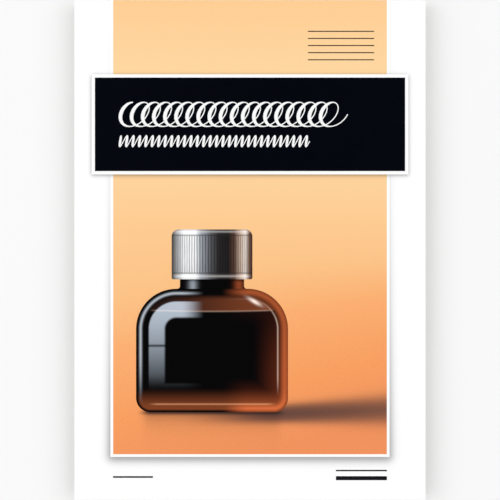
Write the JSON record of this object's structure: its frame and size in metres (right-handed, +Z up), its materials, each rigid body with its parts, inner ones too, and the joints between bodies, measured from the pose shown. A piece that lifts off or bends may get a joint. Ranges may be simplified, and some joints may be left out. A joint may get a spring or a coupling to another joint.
{
  "type": "writing pad",
  "caption": "Head-bound A5 writing pad: a block of lined sheets on a greyboard back, under a printed card cover that lifts from the foot and folds back over the head.",
  "frame": {"origin": "middle of the base, on the table under the pad's centre", "axes": "+Y along the pad towards the glued head, +X across it to the right as the cover is read, +Z up through the front cover"},
  "size_m": [0.148, 0.2108, 0.0097],
  "materials": {
    "cover_card": "satin",
    "sheet_paper": "matte",
    "greyboard": "matte",
    "head_glue": "satin",
    "feint_ink": "matte",
    "picture_ink": "satin",
    "band_ink": "satin",
    "dark_ink": "satin",
    "silver_ink": "satin"
  },
  "bodies": {
    "pad": {"cover_spine": "cover_card", "page_block": "sheet_paper", "backing_board": "greyboard", "padding_glue": "head_glue", "sheet_ruling_print": "feint_ink", "spine_print": "picture_ink"},
    "cover": {"front_cover": "cover_card", "picture_print": "picture_ink", "title_band_print": "band_ink", "motif_dark_print": "dark_ink", "motif_silver_print": "silver_ink"}
  },
  "joints": [
    {"name": "cover_hinge", "type": "hinge", "parent": "pad", "child": "cover", "pos_m": [0, 0.1052, 0.0095], "axis": [-1, 0, 0], "range_deg": [0, 178]}
  ]
}
